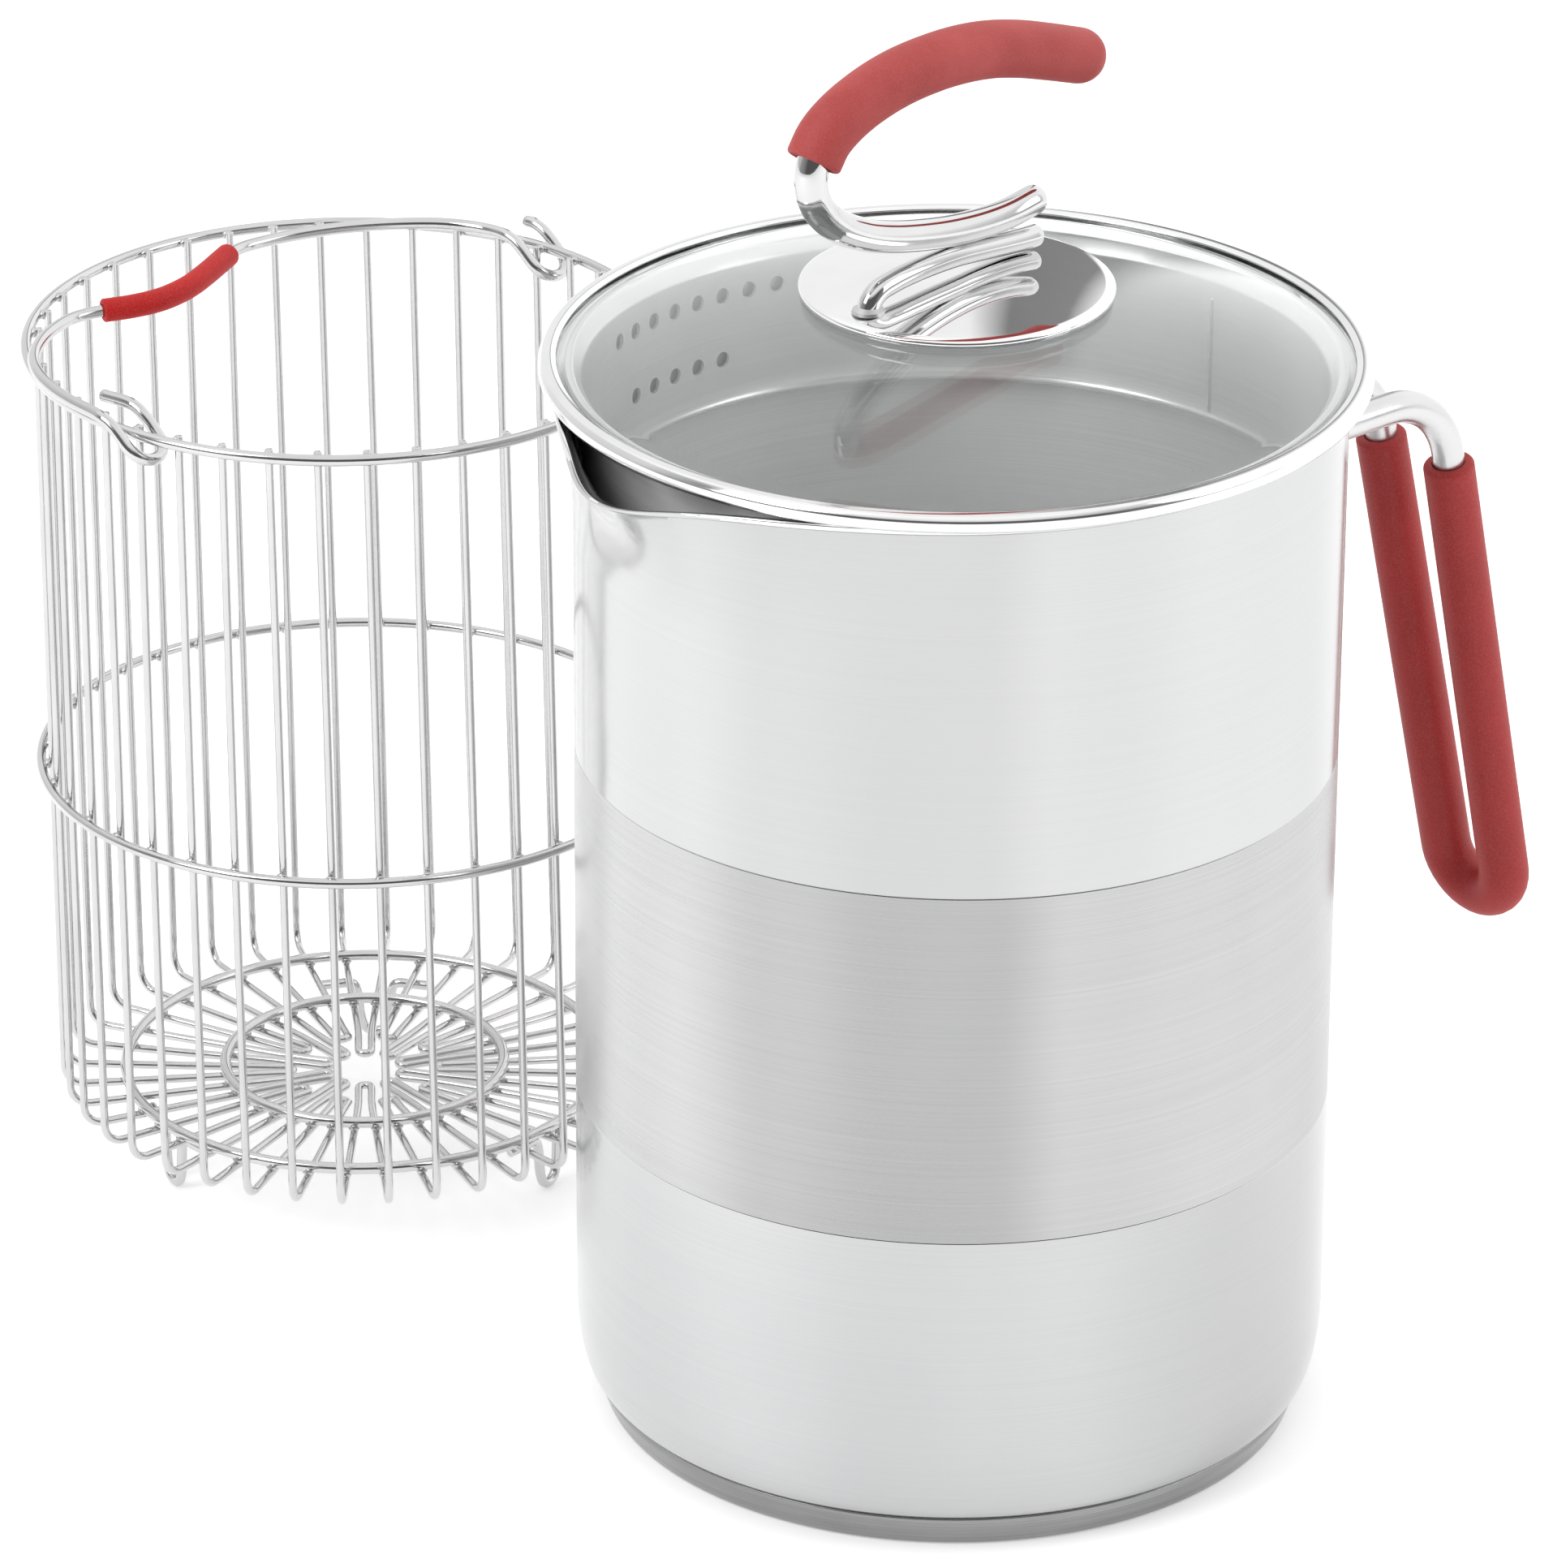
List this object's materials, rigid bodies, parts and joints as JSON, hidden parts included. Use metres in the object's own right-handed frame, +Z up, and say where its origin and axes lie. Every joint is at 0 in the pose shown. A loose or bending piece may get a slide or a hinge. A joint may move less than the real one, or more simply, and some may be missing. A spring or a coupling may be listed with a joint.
{
  "type": "stovetop deep fryer pot with wire basket",
  "caption": "Tall steel pouring pot with a loop handle, a domed glass lid with a straining collar and hooked handle, and a round wire basket with a folding bail.",
  "frame": {"origin": "centre of the underside of the pot's base, on the table", "axes": "+Z up along the pot's axis; the pot's loop handle points 40.5 degrees from +X towards +Y and the spout points the opposite way; the basket stands towards -X and +Y"},
  "size_m": [0.2911, 0.2372, 0.2708],
  "materials": {
    "body_steel": "satin with a horizontally brushed middle band",
    "core_aluminium": "plain, enclosed",
    "rod_steel": "polished",
    "red_silicone": "matte, smooth",
    "lid_glass": "clear, polished",
    "rim_steel": "polished",
    "collar_steel": "semi-polished",
    "mirror_steel": "mirror polished",
    "hardware_steel": "satin",
    "grey_seal": "matte",
    "wire_steel": "polished wire"
  },
  "bodies": {
    "pot": {"pot_body": "body_steel", "base_cap": "body_steel", "base_core": "core_aluminium", "pot_handle_rod": "rod_steel", "pot_handle_sleeve": "red_silicone"},
    "lid": {"lid_glass": "lid_glass", "lid_rim": "rim_steel", "strainer_collar": "collar_steel", "lid_boss": "mirror_steel", "lid_handle_upper_rod": "rod_steel", "lid_handle_lower_rod": "rod_steel", "lid_handle_sleeve": "red_silicone", "lid_screw": "hardware_steel", "lid_washer": "hardware_steel", "lid_seal": "grey_seal"},
    "basket": {"basket_top_ring": "wire_steel", "basket_mid_ring": "wire_steel", "basket_floor_outer_ring": "wire_steel", "basket_floor_inner_ring": "wire_steel", "basket_wire_01": "wire_steel", "basket_wire_02": "wire_steel", "basket_wire_03": "wire_steel", "basket_wire_04": "wire_steel", "basket_wire_05": "wire_steel", "basket_wire_06": "wire_steel", "basket_wire_07": "wire_steel", "basket_wire_08": "wire_steel", "basket_wire_09": "wire_steel", "basket_wire_10": "wire_steel", "basket_wire_11": "wire_steel", "basket_wire_12": "wire_steel", "basket_wire_13": "wire_steel", "basket_wire_14": "wire_steel", "basket_wire_15": "wire_steel", "basket_wire_16": "wire_steel", "basket_wire_17": "wire_steel", "basket_wire_18": "wire_steel", "basket_wire_19": "wire_steel", "basket_wire_20": "wire_steel", "basket_foot_1": "wire_steel", "basket_foot_2": "wire_steel", "basket_foot_3": "wire_steel"},
    "bail": {"bail_wire": "wire_steel", "bail_grip": "red_silicone"}
  },
  "joints": [
    {"name": "lid_lift", "type": "slide", "parent": "pot", "child": "lid", "axis": [0, 0, 1], "range_m": [0, 0.06]},
    {"name": "basket_lift", "type": "slide", "parent": "pot", "child": "basket", "axis": [0, 0, 1], "range_m": [0, 0.12]},
    {"name": "bail_swing", "type": "hinge", "parent": "basket", "child": "bail", "pos_m": [-0.11248, 0.09693, 0.1661], "axis": [0.6157, 0.788, 0], "range_deg": [0, 95]}
  ]
}
